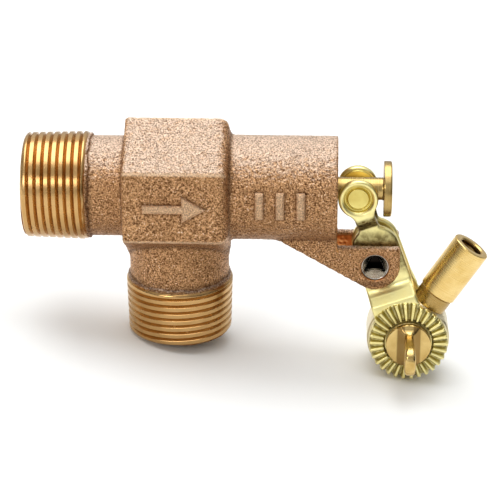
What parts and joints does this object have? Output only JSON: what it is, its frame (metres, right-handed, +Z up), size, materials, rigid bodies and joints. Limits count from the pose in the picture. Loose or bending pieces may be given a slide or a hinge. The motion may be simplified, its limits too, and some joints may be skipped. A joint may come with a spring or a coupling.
{
  "type": "float valve",
  "caption": "Bronze angle float valve with male pipe threads, hexagonal block, sliding piston, forked lever and swinging float-rod socket clamped by a thumb screw",
  "frame": {"origin": "centre of the inlet's end face", "axes": "+X along the inlet, body and barrel; +Z up; the outlet points to -Z; front is -Y"},
  "size_m": [0.1138, 0.0357, 0.0663],
  "materials": {
    "cast_bronze": "sand cast, machined threads",
    "machined_brass": "turned",
    "stamped_brass": "bright stamped sheet",
    "steel": "turned",
    "seal_rubber": "moulded",
    "fibre": "pressed fibre sheet"
  },
  "bodies": {
    "valve_body": {"body_casting": "cast_bronze", "seat_ring": "machined_brass", "seat_gasket": "fibre", "pivot_pin": "steel"},
    "piston_group": {"piston": "machined_brass", "seat_disc": "seal_rubber", "disc_washer": "machined_brass", "disc_screw": "machined_brass", "piston_ring_front": "seal_rubber", "piston_ring_rear": "seal_rubber"},
    "lever": {"front_cheek": "stamped_brass", "rear_cheek": "stamped_brass", "front_eye_stud": "stamped_brass", "rear_eye_stud": "stamped_brass", "pivot_bush": "machined_brass", "front_clamp_washer": "stamped_brass", "rear_clamp_washer": "stamped_brass", "clamp_nut": "machined_brass"},
    "rod_holder": {"socket_knuckle": "machined_brass", "rod_socket": "machined_brass"},
    "clamp_screw": {"thumb_screw": "machined_brass"}
  },
  "joints": [
    {"name": "lever_pivot", "type": "hinge", "parent": "valve_body", "child": "lever", "pos_m": [0.08605, 0, -0.0184], "axis": [0, 1, 0], "range_deg": [0, 28.4]},
    {"name": "piston_slide", "type": "slide", "parent": "valve_body", "child": "piston_group", "axis": [1, 0, 0], "range_m": [0, 0.0089]},
    {"name": "rod_socket_swing", "type": "hinge", "parent": "lever", "child": "rod_holder", "pos_m": [0.0948, 0, -0.0384], "axis": [0, 1, 0], "range_deg": [0, 210]},
    {"name": "thumb_screw_turn", "type": "hinge", "parent": "lever", "child": "clamp_screw", "pos_m": [0.0948, 0, -0.0384], "axis": [0, 1, 0], "continuous": true}
  ],
  "couplings": [
    {"joint": "piston_slide", "follows": "lever_pivot", "m_per_rad": 0.01792}
  ]
}
